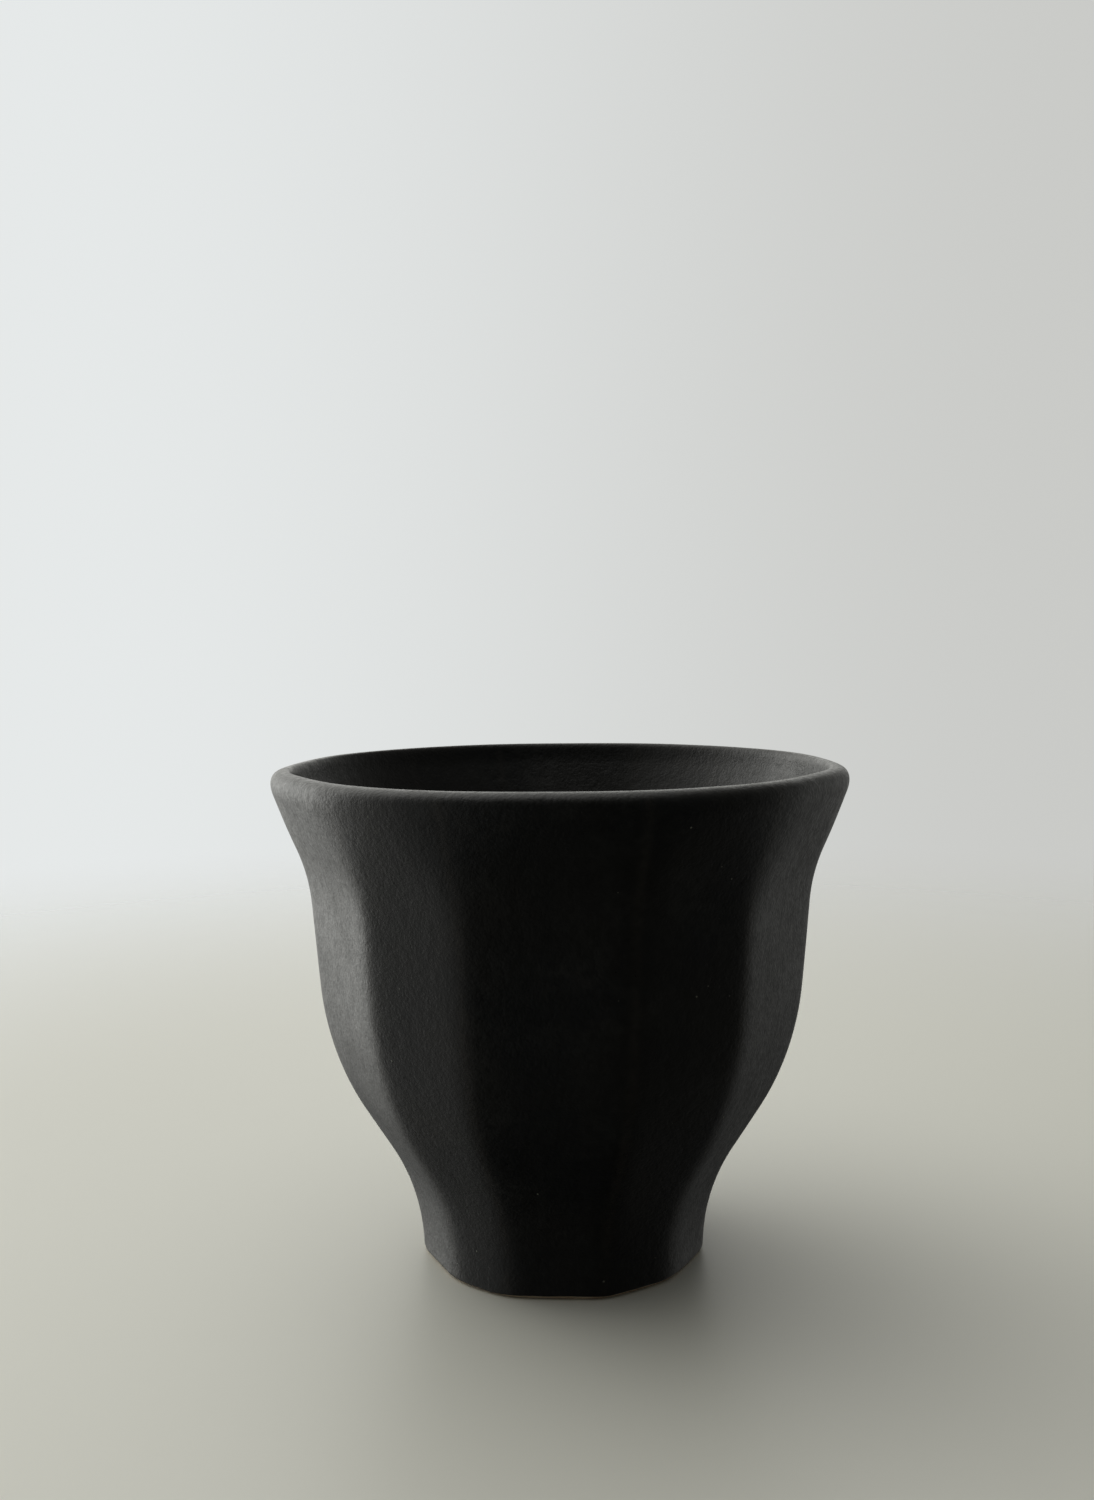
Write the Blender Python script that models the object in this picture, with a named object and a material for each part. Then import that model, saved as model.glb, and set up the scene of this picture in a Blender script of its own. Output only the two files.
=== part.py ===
"""A faceted black clay pot, hand built from six pieces of clay: a foot ring, a floor slab, a belly
wall, a body wall, a neck collar and a rim coil.

Twelve hand-cut facets run from the foot to the lip, outside and inside. Neighbouring bands meet in
a stepped lap: a tongue on the inner half of the lower band stands up behind the skirt of the band
above it, with a slip gap all round. The pot stands on the origin, +Z is up, and azimuth 0 faces -Y.

Run it with blender --background --python part.py, or from the text editor. Sizes are in metres.
"""

import math

import bmesh
import bpy
import numpy as np

# Overall sizes. Radii are taken over the facet corners, before the corners are softened.
HEIGHT = 0.104
LIP_RADIUS = 0.0616
NECK_RADIUS = 0.0535
BELLY_RADIUS = 0.0502
FOOT_RADIUS = 0.0309
WALL = 0.0042

# Heights at which the outline bends. The neck and the lip are measured down from the top.
ANKLE_HEIGHT = 0.0128
BELLY_HEIGHT = 0.0444
NECK_DROP = 0.0215
LIP_DROP = 0.0052

# Radius of each bend, and how far the foot narrows from the table to the ankle. A bend takes at
# most a share of each leg: nearly all of an end leg, and under half of a leg between two bends.
ANKLE_BEND = 0.0514
BELLY_BEND = 0.0605
NECK_BEND = 0.032
FOOT_TAPER = 0.0001
END_LEG_SHARE = 0.98
MIDDLE_LEG_SHARE = 0.48

# Azimuths of the facet corners, in degrees, as the hand cut them.
FACET_CORNERS = (-80.0, -45.2, -21.1, 14.4, 41.5, 76.4, 111.3, 136.5, 159.0, 195.1, 219.3, 243.2)

# How crisp the corners are. They soften over these heights up to the lip and down to the table.
OUTER_CRISPNESS = 75.0
INNER_CRISPNESS = 45.0
FLOOR_CRISPNESS = 18.0
LIP_CRISPNESS = 19.0
FOOT_CRISPNESS = 33.0
LIP_SOFTENING = 0.026
FOOT_SOFTENING = 0.040

# The rolled lip: how deep its crest lies behind the wall line, and how full its two curves are.
CREST_INSET = 0.0022
ROLL_RISE = 0.003
CREST_OUTSIDE = 0.003
CREST_INSIDE = 0.0013

# The foot and the floor.
FOOT_EDGE = 0.0015
FOOT_LAND = 0.0072
RECESS_DEPTH = 0.005
RECESS_EDGE = 0.0008
SLAB_THICKNESS = 0.0042
SLAB_SEAT = 0.003
SLAB_EDGE = 0.0006
FLOOR_FILLET = 0.006
TOE_THICKNESS = 0.0005

# The joints between the pieces.
SLIP_GAP = 0.0003
LAP = 0.003
SEAM_SHIFT = 0.002
RIM_MARGIN = 0.0005

# How finely the surfaces are divided.
STATION_SPACING = 0.0055
CORNER_OFFSETS = (-10.5, -6.5, -3.0, 0.0, 3.0, 6.5, 10.5)
CURVE_STEPS = 4
SHARP_ANGLE = math.radians(35.0)

BLACK_GLAZE = (0.012, 0.013, 0.012, 1.0)
GLAZE_ROUGHNESS = 0.42

SLAB_TOP = RECESS_DEPTH + SLIP_GAP + SLAB_THICKNESS
RECESS_RADIUS = FOOT_RADIUS - FOOT_LAND
SLAB_RADIUS = RECESS_RADIUS + SLAB_SEAT
BELLY_SEAM = BELLY_HEIGHT + SEAM_SHIFT
NECK_SEAM = HEIGHT - NECK_DROP - SEAM_SHIFT
LIP_START = HEIGHT - LIP_DROP
RIM_SEAM = LIP_START - RIM_MARGIN - LAP - SLIP_GAP


def clear_scene():
    """Removes every object, so that the script builds the same pot in any file."""
    for old in list(bpy.data.objects):
        bpy.data.objects.remove(old, do_unlink=True)


def wall_outline():
    """Bends of the outer wall, foot first: (height, radius over the corners, bend radius)."""
    return [
        (0.0, FOOT_RADIUS, 0.0),
        (ANKLE_HEIGHT, FOOT_RADIUS - FOOT_TAPER, ANKLE_BEND),
        (BELLY_HEIGHT, BELLY_RADIUS, BELLY_BEND),
        (HEIGHT - NECK_DROP, NECK_RADIUS, NECK_BEND),
        (LIP_START, LIP_RADIUS, 0.0),
    ]


def bend_arc(before, bend, after):
    """Arc that rounds one bend: (lowest height, highest height, centre, signed arc radius).

    The arc touches both legs of the bend. Its radius is positive where the wall turns outwards. A
    neighbour with no bend of its own is the end of the outline.
    """
    corner = np.array(bend[:2])
    down = np.array(before[:2]) - corner
    up = np.array(after[:2]) - corner
    down_share = MIDDLE_LEG_SHARE if before[2] else END_LEG_SHARE
    up_share = MIDDLE_LEG_SHARE if after[2] else END_LEG_SHARE
    longest = min(down_share * np.linalg.norm(down), up_share * np.linalg.norm(up))
    down /= np.linalg.norm(down)
    up /= np.linalg.norm(up)
    half_angle = math.acos(np.clip(down @ up, -1.0, 1.0)) / 2
    reach = min(bend[2] / math.tan(half_angle), longest)
    arc_radius = reach * math.tan(half_angle)
    middle = (down + up) / np.linalg.norm(down + up)
    centre = corner + middle * arc_radius / math.sin(half_angle)
    side = math.copysign(1.0, centre[1] - corner[1])
    return (corner + down * reach)[0], (corner + up * reach)[0], centre, side * arc_radius


def wall_at(height):
    """Radius over the corners and slope (radius per height) of the outer wall at a height."""
    outline = wall_outline()
    for before, bend, after in zip(outline, outline[1:], outline[2:]):
        lowest, highest, centre, arc_radius = bend_arc(before, bend, after)
        if lowest < height < highest:
            rise = height - centre[0]
            across = math.sqrt(arc_radius**2 - rise**2)
            side = math.copysign(1.0, arc_radius)
            return centre[1] - side * across, side * rise / across
    for low, high in zip(outline, outline[1:]):
        if height <= high[0]:
            break
    slope = (high[1] - low[1]) / (high[0] - low[0])
    return low[1] + slope * (height - low[0]), slope


def wall_depth(height):
    """Level thickness of the wall at a height: WALL is its thickness square to the surface."""
    slope = wall_at(height)[1]
    return WALL * math.sqrt(1 + slope**2)


def ease(share):
    """Smooth step: 0 up to a share of 0, and 1 from a share of 1."""
    share = min(max(share, 0.0), 1.0)
    return share**2 * (3 - 2 * share)


def softened(crispness, height):
    """Crispness of the corners at a height, where the body's crispness is the one given."""
    to_lip = ease(1 - (HEIGHT - height) / LIP_SOFTENING)
    to_foot = ease(1 - height / FOOT_SOFTENING)
    lip_factor = (min(LIP_CRISPNESS, crispness) / crispness) ** to_lip
    foot_factor = (min(FOOT_CRISPNESS, crispness) / crispness) ** to_foot
    return crispness * lip_factor * foot_factor


def heights_between(low, high):
    """Even heights from low to high, both included, no further apart than STATION_SPACING."""
    return np.linspace(low, high, 1 + max(1, math.ceil((high - low) / STATION_SPACING)))


def facet_radius(azimuth, radius, inset, crispness):
    """Distance from the axis to the faceted surface in each direction.

    Each facet is a plane whose distance is that of a chord between two corners at the given
    radius, less the inset. The surface is their soft minimum, so a high crispness gives crisp
    corners and a low one gives round corners.
    """
    corners = np.radians(FACET_CORNERS)
    following = np.append(corners[1:], corners[0] + math.tau)
    facing = np.clip(np.cos(azimuth[:, None] - (corners + following) / 2), 0, None)
    plane = radius * np.cos((following - corners) / 2) - inset
    return ((facing / plane) ** crispness).sum(axis=1) ** (-1 / crispness)


def ring_azimuths():
    """Azimuths of the points of a ring: a few round each facet corner, none on the flats."""
    return np.radians(np.add.outer(FACET_CORNERS, CORNER_OFFSETS).ravel())


def faceted(height, inset=0.0, crispness=OUTER_CRISPNESS, radius=None):
    """Ring of points on the wall: inset in from the outer wall's radius at that height.

    The crispness is the body's, and softens towards the lip and the foot.
    """
    azimuth = ring_azimuths()
    outer = wall_at(height)[0] if radius is None else radius
    reach = facet_radius(azimuth, outer, inset, softened(crispness, height))
    level = np.full_like(azimuth, height)
    return np.column_stack([reach * np.sin(azimuth), -reach * np.cos(azimuth), level])


def turned(height, radius):
    """Ring of points on a plain circle, for the turned faces under the foot."""
    azimuth = ring_azimuths()
    level = np.full_like(azimuth, height)
    return np.column_stack([radius * np.sin(azimuth), -radius * np.cos(azimuth), level])


def outer_face(low, high):
    """Rings up the outside of the wall."""
    return [faceted(height) for height in heights_between(low, high)]


def inner_face(high, low):
    """Rings down the inside of the wall."""
    heights = heights_between(low, high)[::-1]
    return [faceted(height, wall_depth(height), INNER_CRISPNESS) for height in heights]


def lap_tongue(seam):
    """Rings over the top of a lower band: a ledge, then a tongue on the inner half of the wall."""
    top = seam + LAP
    return [
        faceted(seam, (wall_depth(seam) + SLIP_GAP) / 2),
        faceted(top, (wall_depth(top) + SLIP_GAP) / 2),
    ]


def lap_skirt(seam):
    """Rings under the foot of an upper band: over the tongue, then down its outside."""
    bottom = seam + SLIP_GAP
    top = bottom + LAP
    return [
        faceted(top, (wall_depth(top) - SLIP_GAP) / 2),
        faceted(bottom, (wall_depth(bottom) - SLIP_GAP) / 2),
    ]


def cubic_curve(start, start_handle, end_handle, end):
    """Points along a Bezier curve between two (inset, height) points, its ends left out."""
    share = np.linspace(0, 1, CURVE_STEPS + 2)[1:-1, None]
    rest = 1 - share
    points = [np.array(point) for point in (start, start_handle, end_handle, end)]
    weights = (rest**3, 3 * rest**2 * share, 3 * rest * share**2, share**3)
    return sum(weight * point for weight, point in zip(weights, points))


def lip_rings():
    """Rings over the rolled lip: out along the neck's slope, over the crest, down the inside."""
    slope = wall_at(LIP_START)[1]
    depth = wall_depth(LIP_START)
    crest = (CREST_INSET, HEIGHT)
    outside = cubic_curve(
        (0.0, LIP_START),
        (-slope * ROLL_RISE, LIP_START + ROLL_RISE),
        (CREST_INSET - CREST_OUTSIDE, HEIGHT),
        crest,
    )
    inside = cubic_curve(
        crest,
        (CREST_INSET + CREST_INSIDE, HEIGHT),
        (depth - slope * ROLL_RISE, LIP_START + ROLL_RISE),
        (depth, LIP_START),
    )
    over = [*outside, crest, *inside]
    share = np.linspace(0, 1, len(over))
    crispness = OUTER_CRISPNESS + (INNER_CRISPNESS - OUTER_CRISPNESS) * share
    return [
        faceted(height, inset, soft, LIP_RADIUS)
        for (inset, height), soft in zip(over, crispness)
    ]


def foot_edge_rings():
    """Rings round the outer bottom edge of the foot, a quarter circle from land to wall."""
    turn = np.linspace(0, math.pi / 2, CURVE_STEPS)[:-1]
    return [
        faceted(FOOT_EDGE * (1 - math.cos(angle)), FOOT_EDGE * (1 - math.sin(angle)))
        for angle in turn
    ]


def toe_rings():
    """Rings down the inside fillet of the belly wall, a quarter circle that lands on the floor."""
    top = SLAB_TOP + FLOOR_FILLET
    bottom = SLAB_TOP + SLIP_GAP + TOE_THICKNESS
    rings = []
    for share in np.linspace(0, 1, CURVE_STEPS + 1)[1:]:
        height = top + (bottom - top) * share
        drop = (top - height) / FLOOR_FILLET
        inset = wall_depth(height) + FLOOR_FILLET * (1 - math.sqrt(1 - drop**2))
        crispness = INNER_CRISPNESS + (FLOOR_CRISPNESS - INNER_CRISPNESS) * share
        rings.append(faceted(height, inset, crispness))
    return rings


def foot_ring_rings():
    """Section of the foot ring: land, outer wall, top, the slab's rebate and the recess."""
    rebate = SLAB_RADIUS + SLIP_GAP
    return [
        *foot_edge_rings(),
        *outer_face(FOOT_EDGE, SLAB_TOP),
        turned(SLAB_TOP, rebate),
        turned(RECESS_DEPTH, rebate),
        turned(RECESS_DEPTH, RECESS_RADIUS),
        turned(RECESS_EDGE, RECESS_RADIUS),
        turned(0.0, RECESS_RADIUS + RECESS_EDGE),
    ]


def floor_slab_rings():
    """Section of the floor slab, from its underside to its top, with eased edges."""
    bottom = RECESS_DEPTH + SLIP_GAP
    return [
        turned(bottom, SLAB_RADIUS - SLAB_EDGE),
        turned(bottom + SLAB_EDGE, SLAB_RADIUS),
        turned(SLAB_TOP - SLAB_EDGE, SLAB_RADIUS),
        turned(SLAB_TOP, SLAB_RADIUS - SLAB_EDGE),
    ]


def belly_wall_rings():
    """Section of the belly wall, which stands on the foot ring and on the slab's rim."""
    bottom = SLAB_TOP + SLIP_GAP
    toe = toe_rings()
    toe_foot = toe[-1].copy()
    toe_foot[:, 2] = bottom
    return [
        *outer_face(bottom, BELLY_SEAM),
        *lap_tongue(BELLY_SEAM),
        *inner_face(BELLY_SEAM + LAP, SLAB_TOP + FLOOR_FILLET),
        *toe,
        toe_foot,
    ]


def band_rings(low_seam, high_seam):
    """Section of a plain band between two laps."""
    return [
        *outer_face(low_seam + SLIP_GAP, high_seam),
        *lap_tongue(high_seam),
        *inner_face(high_seam + LAP, low_seam + LAP + SLIP_GAP),
        *lap_skirt(low_seam),
    ]


def rim_coil_rings():
    """Section of the rim coil: up the outside, over the rolled lip and down to its lap."""
    return [
        *outer_face(RIM_SEAM + SLIP_GAP, LIP_START),
        *lip_rings(),
        *inner_face(LIP_START, RIM_SEAM + LAP + SLIP_GAP),
        *lap_skirt(RIM_SEAM),
    ]


def glaze_material(name):
    """Principled material of one piece: near-black satin glaze."""
    material = bpy.data.materials.new(name + "_glaze")
    material.use_nodes = True
    shader = material.node_tree.nodes["Principled BSDF"]
    shader.inputs["Base Color"].default_value = BLACK_GLAZE
    shader.inputs["Roughness"].default_value = GLAZE_ROUGHNESS
    shader.inputs["Metallic"].default_value = 0.0
    return material


def spin_section(shape, rings, closed_section):
    """Spins a section about the pot's axis, then sets every point out to its place on its ring.

    The section's points stand for the rings, in order, and each keeps its ring's number.
    """
    ring_number = shape.verts.layers.int.new("ring_number")
    section = []
    for number, ring in enumerate(rings):
        first = ring[0]
        point = shape.verts.new((math.hypot(first[0], first[1]), 0.0, first[2]))
        point[ring_number] = number
        section.append(point)
    following = section[1:] + section[:1] if closed_section else section[1:]
    edges = [shape.edges.new(pair) for pair in zip(section, following)]
    turns = len(rings[0])
    bmesh.ops.spin(
        shape,
        geom=section + edges,
        cent=(0.0, 0.0, 0.0),
        axis=(0.0, 0.0, 1.0),
        angle=math.tau,
        steps=turns,
        use_merge=True,
    )
    for point in shape.verts:
        turn = round(math.atan2(point.co.y, point.co.x) / (math.tau / turns)) % turns
        point.co = rings[point[ring_number]][turn]


def add_piece(name, rings, closed_section=True):
    """Makes one closed mesh from the rings of a section and puts it in the scene."""
    shape = bmesh.new()
    spin_section(shape, rings, closed_section)
    open_edges = [edge for edge in shape.edges if edge.is_boundary]
    bmesh.ops.holes_fill(shape, edges=open_edges, sides=0)
    bmesh.ops.recalc_face_normals(shape, faces=shape.faces)
    if shape.calc_volume(signed=True) < 0:
        bmesh.ops.reverse_faces(shape, faces=shape.faces)
    mesh = bpy.data.meshes.new(name)
    shape.to_mesh(mesh)
    shape.free()
    mesh.shade_smooth()
    mesh.set_sharp_from_angle(angle=SHARP_ANGLE)
    mesh.materials.append(glaze_material(name))
    piece = bpy.data.objects.new(name, mesh)
    bpy.context.scene.collection.objects.link(piece)
    return piece


def build_pot():
    """Builds the six pieces, from the table up."""
    pot = bpy.data.objects.new("pot", None)
    bpy.context.scene.collection.objects.link(pot)
    pieces = [
        add_piece("foot_ring", foot_ring_rings()),
        add_piece("floor_slab", floor_slab_rings(), closed_section=False),
        add_piece("belly_wall", belly_wall_rings()),
        add_piece("body_wall", band_rings(BELLY_SEAM, NECK_SEAM)),
        add_piece("neck_collar", band_rings(NECK_SEAM, RIM_SEAM)),
        add_piece("rim_coil", rim_coil_rings()),
    ]
    for piece in pieces:
        piece.parent = pot


clear_scene()
build_pot()
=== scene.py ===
"""Looks of a small faceted clay pot in black satin glaze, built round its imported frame.

Twelve hand-cut facets run from the foot to the lip, outside and inside. The pot is six pieces of
clay: a foot ring, a floor slab, a belly wall, a body wall, a neck collar and a rim coil, with a
band of bare clay under the foot where the glaze was wiped away.

Each piece is a stack of rings. A ring is worked out as one array from the facet planes, and a
piece's rings run round its section, so every piece is one closed surface. The glazed skin is a
single line that runs from the foot over the lip to the middle of the floor: neighbouring pieces
share its rings and its normals, so the joints between them don't show.

Sizes are in metres, +Z is up, and azimuth 0 faces -Y.
"""

import logging
import math
from dataclasses import dataclass, replace
from enum import Enum
from typing import Any

import bpy
import numpy as np
from mathutils import Matrix, Vector


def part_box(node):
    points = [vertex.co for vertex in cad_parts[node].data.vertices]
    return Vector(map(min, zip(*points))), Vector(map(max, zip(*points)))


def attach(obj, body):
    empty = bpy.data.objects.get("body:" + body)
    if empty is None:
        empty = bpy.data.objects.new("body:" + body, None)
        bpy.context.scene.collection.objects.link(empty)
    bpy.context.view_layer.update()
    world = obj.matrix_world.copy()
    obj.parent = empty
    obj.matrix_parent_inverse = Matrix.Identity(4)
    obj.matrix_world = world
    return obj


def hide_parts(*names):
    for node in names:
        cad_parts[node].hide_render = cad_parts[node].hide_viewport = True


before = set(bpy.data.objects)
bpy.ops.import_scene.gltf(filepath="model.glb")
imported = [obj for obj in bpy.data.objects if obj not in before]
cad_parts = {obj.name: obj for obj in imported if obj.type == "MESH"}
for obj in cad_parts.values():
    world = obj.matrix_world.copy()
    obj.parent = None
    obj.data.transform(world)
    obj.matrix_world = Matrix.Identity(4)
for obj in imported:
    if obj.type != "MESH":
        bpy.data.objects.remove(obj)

log = logging.getLogger("pot")

ROOT_BODY = "root"
COLUMNS = 720
THIN_GLAZE = "thin_glaze"
WIPE_HARMONICS = ((3, 1.0, 0.7), (7, 0.6, 2.1), (16, 0.35, 0.3), (31, 0.2, 1.9))


class Side(Enum):
    """Which face of the wall a ring belongs to."""

    OUTSIDE = 0
    BOWL = 1


class Slot(Enum):
    """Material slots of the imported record."""

    GLAZE = "black_glaze"
    CLAY = "bare_clay"


@dataclass(frozen=True)
class Section:
    """Rings that a surface runs through, in order. Every field is an array with one value a ring.

    Attributes:
        radius: Radius over the facet corners of the wall that the ring belongs to.
        inset: How far in from that wall's facets the ring lies.
        height: Height of the ring.
        crispness: How crisp its corners are.
        roundness: 0 for a faceted ring, 1 for a plain turned circle.
        bowl: 0 on the outside, 1 on the bowl side.
        wave: Height of the hand-wiped edge's waviness on this ring.
    """

    radius: np.ndarray
    inset: np.ndarray
    height: np.ndarray
    crispness: np.ndarray
    roundness: np.ndarray
    bowl: np.ndarray
    wave: np.ndarray

    @staticmethod
    def of(
        radius: Any,
        height: Any,
        inset: Any = 0.0,
        crispness: Any = 75.0,
        roundness: Any = 0.0,
        side: Side = Side.OUTSIDE,
        wave: Any = 0.0,
    ) -> "Section":
        """Makes a section from numbers and arrays, spread to one length.

        Args:
            radius: Radius over the corners.
            height: Height of each ring.
            inset: Inset of each ring.
            crispness: Crispness of each ring.
            roundness: Roundness of each ring.
            side: Face of the wall that the rings belong to.
            wave: Waviness of each ring.

        Returns:
            The section.
        """
        spread = np.broadcast_arrays(
            *np.atleast_1d(radius, inset, height, crispness, roundness, float(side.value), wave)
        )
        return Section(*(np.array(values, float) for values in spread))

    @staticmethod
    def join(*sections: "Section") -> "Section":
        """Puts sections one after another."""
        fields = Section.__dataclass_fields__
        return Section(
            *(np.concatenate([getattr(part, name) for part in sections]) for name in fields)
        )


@dataclass(frozen=True)
class Strip:
    """A run of rings of one piece.

    Attributes:
        section: The rings. A skin strip has one more ring at each end, which isn't built: it only
            tells the end rings' normals.
        skin: True where the strip shows, so that its normals come from the skin's own line.
    """

    section: Section
    skin: bool = False


@dataclass(frozen=True)
class FacetPlan:
    """The twelve hand-cut facets, as seen from above.

    Attributes:
        corners: Azimuth of each facet corner on the body, in degrees.
        foot_drift: Degrees that each corner has wandered round by the table.
        drift_height: Height at which the corners start to wander.
        ripple_depth: How far a facet wanders in and out along its height.
        ripple_lengths: Shortest and longest wave of that wandering.
        wipe_wave: How far the hand-wiped edge of the glaze wanders up and down.
        seed: Seed of the waves.
    """

    corners: tuple[float, ...] = (
        -80.0,
        -45.0,
        -20.9,
        14.4,
        41.5,
        76.4,
        111.3,
        136.5,
        159.0,
        195.1,
        219.3,
        243.2,
    )
    foot_drift: tuple[float, ...] = (-1.5, -1.6, -1.5, 0.4, 3.1, 1.8, -1.2, 0.9, -0.6, 1.4, -1.0, 0.7)
    drift_height: float = 0.042
    ripple_depth: float = 0.00006
    ripple_lengths: tuple[float, float] = (0.024, 0.047)
    wipe_wave: float = 0.00012
    seed: int = 12

    def azimuths(self) -> np.ndarray:
        """Even azimuths of the points of a ring, in radians."""
        return np.linspace(0, math.tau, COLUMNS, endpoint=False)

    def corner_azimuths(self, height: np.ndarray) -> np.ndarray:
        """Azimuths of the corners at each height: the body's, plus a drift that grows to the foot.

        Args:
            height: Heights, one a ring.

        Returns:
            Radians, rings by corners.
        """
        share = np.clip(1 - height / self.drift_height, 0, 1)[:, None] ** 1.5
        return np.radians(self.corners) + share * np.radians(self.foot_drift)

    def ripple(self, height: np.ndarray, bowl: np.ndarray) -> np.ndarray:
        """Wandering of each facet: a sine along the height, of its own length and phase.

        Args:
            height: Heights, one a ring.
            bowl: 0 for rings on the outside and 1 for rings on the bowl side.

        Returns:
            Metres, rings by facets.
        """
        draw = np.random.default_rng(self.seed)
        waves = []
        for _ in Side:
            length = draw.uniform(*self.ripple_lengths, len(self.corners))
            phase = draw.uniform(0, math.tau, len(self.corners))
            waves.append(np.sin(math.tau * height[:, None] / length + phase))
        outside, inside = waves
        return self.ripple_depth * (outside * (1 - bowl[:, None]) + inside * bowl[:, None])

    def reach(self, section: Section, azimuth: np.ndarray) -> np.ndarray:
        """Distance from the axis to the surface, for every ring and azimuth.

        A facet is a plane at the distance of the chord between its two corners, less the inset.
        In any direction the surface is the soft minimum of the planes: the sum of (cosine to the
        plane / its distance) ** crispness, to the power -1 / crispness. A turned ring is a circle.

        Args:
            section: The rings.
            azimuth: Azimuths in radians.

        Returns:
            Metres, rings by azimuths.
        """
        corner = self.corner_azimuths(section.height)
        following = np.roll(corner, -1, axis=1)
        following[:, -1] += math.tau
        middle = (corner + following) / 2
        plane = section.radius[:, None] * np.cos((following - corner) / 2)
        plane += self.ripple(section.height, section.bowl) - section.inset[:, None]
        facing = np.clip(np.cos(azimuth - middle[:, :, None]), 0, None)
        power = section.crispness[:, None]
        total = ((facing / plane[:, :, None]) ** power[:, :, None]).sum(axis=1)
        faceted = total ** (-1 / power)
        circle = (section.radius - section.inset)[:, None]
        return faceted + (circle - faceted) * section.roundness[:, None]

    def points(self, section: Section, azimuth: np.ndarray) -> np.ndarray:
        """Points of every ring: (reach * sin, -reach * cos, height), with the wiped edge's wave.

        The wave is a sum of sines round the ring, each with its own turns, share and phase.

        Args:
            section: The rings.
            azimuth: Azimuths in radians.

        Returns:
            Metres, rings by azimuths by 3.
        """
        reach = self.reach(section, azimuth)
        wander = sum(
            share * np.sin(turns * azimuth + phase) for turns, share, phase in WIPE_HARMONICS
        )
        height = section.height[:, None] + self.wipe_wave * section.wave[:, None] * wander
        return np.stack([reach * np.sin(azimuth), -reach * np.cos(azimuth), height], axis=2)

    def corner_share(self, section: Section, azimuth: np.ndarray, width: float) -> np.ndarray:
        """How near each point is to a facet corner: a bell curve of its distance round the ring.

        Args:
            section: The rings.
            azimuth: Azimuths in radians.
            width: Half width of the bell.

        Returns:
            1 on a corner, falling to 0, rings by azimuths.
        """
        away = azimuth - self.corner_azimuths(section.height)[:, :, None]
        away = (away + math.pi) % math.tau - math.pi
        nearest = np.abs(away).min(axis=1) * section.radius[:, None]
        return np.exp(-((nearest / width) ** 2))


@dataclass(frozen=True)
class Levels:
    """Heights at which the pieces meet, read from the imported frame.

    Attributes:
        top: Height of the lip.
        slab_bottom: Underside of the floor slab.
        slab_top: Top of the floor slab and of the foot ring.
        belly_seam: Ledge between the belly wall and the body wall.
        neck_seam: Ledge between the body wall and the neck collar.
        rim_seam: Ledge between the neck collar and the rim coil.
        gap: Slip gap between two pieces.
        lap: Height of a lap's tongue.
        slab_radius: Radius of the floor slab.
    """

    top: float
    slab_bottom: float
    slab_top: float
    belly_seam: float
    neck_seam: float
    rim_seam: float
    gap: float
    lap: float
    slab_radius: float

    @staticmethod
    def from_frame() -> "Levels":
        """Reads the heights from the boxes of the CAD nodes."""
        foot_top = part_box("foot_ring")[1].z
        belly_low, belly_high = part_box("belly_wall")
        slab_low, slab_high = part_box("floor_slab")
        gap = belly_low.z - foot_top
        belly_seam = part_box("body_wall")[0].z - gap
        return Levels(
            top=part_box("rim_coil")[1].z,
            slab_bottom=slab_low.z,
            slab_top=slab_high.z,
            belly_seam=belly_seam,
            neck_seam=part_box("neck_collar")[0].z - gap,
            rim_seam=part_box("rim_coil")[0].z - gap,
            gap=gap,
            lap=belly_high.z - belly_seam,
            slab_radius=(slab_high.x - slab_low.x) / 2,
        )


def bezier_weights(share: np.ndarray) -> np.ndarray:
    """Weights of a cubic Bezier curve's four points, at each share of its length."""
    rest = 1 - share
    return np.hstack([rest**3, 3 * rest**2 * share, 3 * rest * share**2, share**3])


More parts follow.
